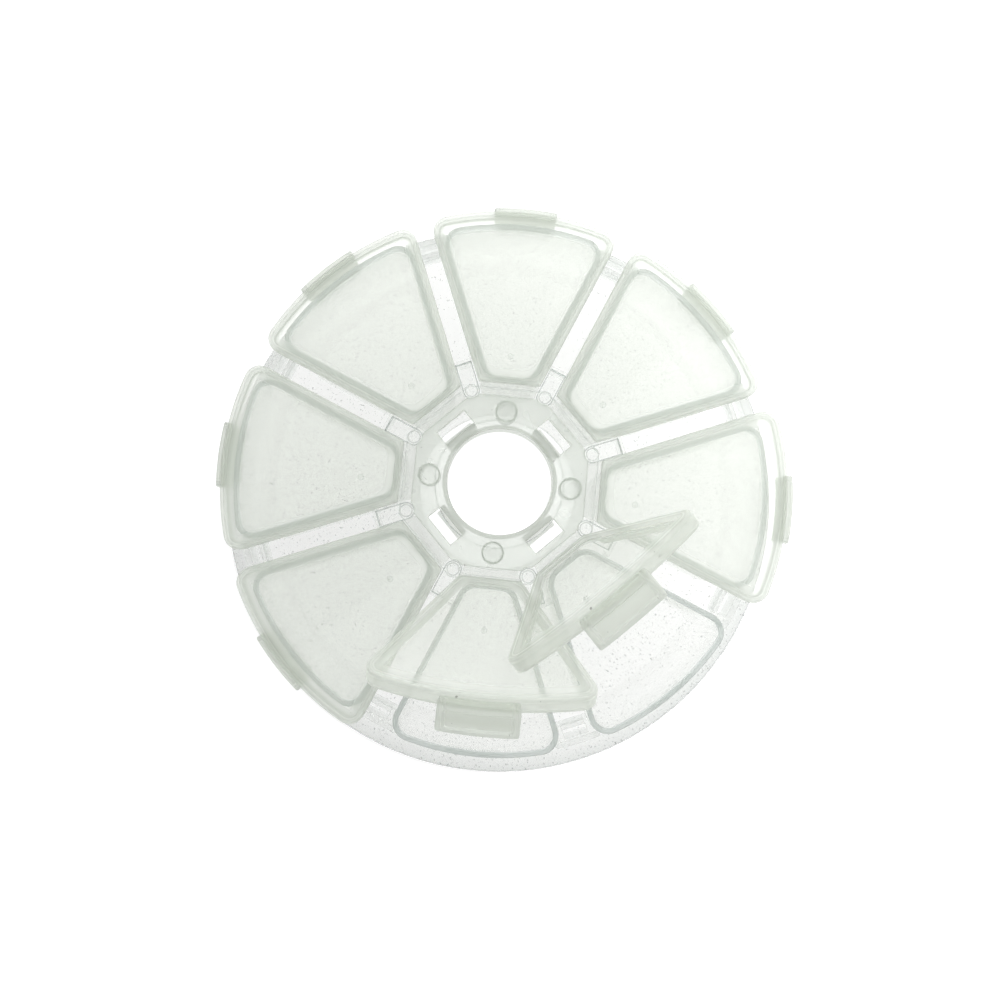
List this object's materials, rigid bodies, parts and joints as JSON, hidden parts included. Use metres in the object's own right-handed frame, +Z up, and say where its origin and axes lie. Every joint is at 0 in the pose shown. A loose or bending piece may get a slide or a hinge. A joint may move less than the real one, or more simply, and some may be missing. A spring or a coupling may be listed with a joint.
{
  "type": "compartment storage box",
  "caption": "Round small-parts box of frosted plastic: wedge-shaped cups on a round base plate, each closed by a hinged lid with a latch tab round a central hub with a bore.",
  "frame": {"origin": "centre of the underside of the base plate", "axes": "+Z up along the bore; -Y towards lid_1, and the lids are numbered counter-clockwise seen from above"},
  "size_m": [0.105, 0.105, 0.0592],
  "materials": {
    "base_plastic": "frosted translucent polypropylene",
    "lid_plastic": "frosted translucent polypropylene"
  },
  "bodies": {
    "base": {"base_disc": "base_plastic", "hub_seat": "base_plastic", "hub_plate": "lid_plastic", "cup_1": "base_plastic", "cup_2": "base_plastic", "cup_3": "base_plastic", "cup_4": "base_plastic", "cup_5": "base_plastic", "cup_6": "base_plastic", "cup_7": "base_plastic", "cup_8": "base_plastic", "inner_bridge_1": "base_plastic", "inner_bridge_2": "base_plastic", "inner_bridge_3": "base_plastic", "inner_bridge_4": "base_plastic", "inner_bridge_5": "base_plastic", "inner_bridge_6": "base_plastic", "inner_bridge_7": "base_plastic", "inner_bridge_8": "base_plastic", "outer_bridge_1": "base_plastic", "outer_bridge_2": "base_plastic", "outer_bridge_3": "base_plastic", "outer_bridge_4": "base_plastic", "outer_bridge_5": "base_plastic", "outer_bridge_6": "base_plastic", "outer_bridge_7": "base_plastic", "outer_bridge_8": "base_plastic", "hinge_film_1": "lid_plastic", "hinge_film_2": "lid_plastic", "hinge_film_3": "lid_plastic", "hinge_film_4": "lid_plastic", "hinge_film_5": "lid_plastic", "hinge_film_6": "lid_plastic", "hinge_film_7": "lid_plastic", "hinge_film_8": "lid_plastic", "snap_hook_1": "lid_plastic", "snap_hook_2": "lid_plastic", "snap_hook_3": "lid_plastic", "snap_hook_4": "lid_plastic", "spacer_post_1": "lid_plastic", "spacer_post_2": "lid_plastic", "spacer_post_3": "lid_plastic", "spacer_post_4": "lid_plastic"},
    "lid_1": {"lid_1": "lid_plastic", "latch_1": "lid_plastic"},
    "lid_2": {"lid_2": "lid_plastic", "latch_2": "lid_plastic"},
    "lid_3": {"lid_3": "lid_plastic", "latch_3": "lid_plastic"},
    "lid_4": {"lid_4": "lid_plastic", "latch_4": "lid_plastic"},
    "lid_5": {"lid_5": "lid_plastic", "latch_5": "lid_plastic"},
    "lid_6": {"lid_6": "lid_plastic", "latch_6": "lid_plastic"},
    "lid_7": {"lid_7": "lid_plastic", "latch_7": "lid_plastic"},
    "lid_8": {"lid_8": "lid_plastic", "latch_8": "lid_plastic"}
  },
  "joints": [
    {"name": "lid_1_hinge", "type": "hinge", "parent": "base", "child": "lid_1", "pos_m": [0, -0.015, 0.02775], "axis": [-1, 0, 0], "range_deg": [-62, 1], "deforming": ["hinge_film_1"]},
    {"name": "lid_2_hinge", "type": "hinge", "parent": "base", "child": "lid_2", "pos_m": [0.01061, -0.01061, 0.02775], "axis": [-0.7071, -0.7071, 0], "range_deg": [-80, 1.3], "deforming": ["hinge_film_2"]},
    {"name": "lid_3_hinge", "type": "hinge", "parent": "base", "child": "lid_3", "pos_m": [0.015, 0, 0.02775], "axis": [0, -1, 0], "range_deg": [-6, 54], "deforming": ["hinge_film_3"]},
    {"name": "lid_4_hinge", "type": "hinge", "parent": "base", "child": "lid_4", "pos_m": [0.01061, 0.01061, 0.02775], "axis": [0.7071, -0.7071, 0], "range_deg": [0, 80], "deforming": ["hinge_film_4"]},
    {"name": "lid_5_hinge", "type": "hinge", "parent": "base", "child": "lid_5", "pos_m": [0, 0.015, 0.02775], "axis": [1, 0, 0], "range_deg": [0, 60], "deforming": ["hinge_film_5"]},
    {"name": "lid_6_hinge", "type": "hinge", "parent": "base", "child": "lid_6", "pos_m": [-0.01061, 0.01061, 0.02775], "axis": [0.7071, 0.7071, 0], "range_deg": [0, 80], "deforming": ["hinge_film_6"]},
    {"name": "lid_7_hinge", "type": "hinge", "parent": "base", "child": "lid_7", "pos_m": [-0.015, 0, 0.02775], "axis": [0, 1, 0], "range_deg": [0, 60], "deforming": ["hinge_film_7"]},
    {"name": "lid_8_hinge", "type": "hinge", "parent": "base", "child": "lid_8", "pos_m": [-0.01061, -0.01061, 0.02775], "axis": [-0.7071, 0.7071, 0], "range_deg": [0, 45], "deforming": ["hinge_film_8"]}
  ],
  "couplings": [
    {"joint": "lid_2_hinge", "follows": "lid_1_hinge", "ratio": 1.2903}
  ]
}
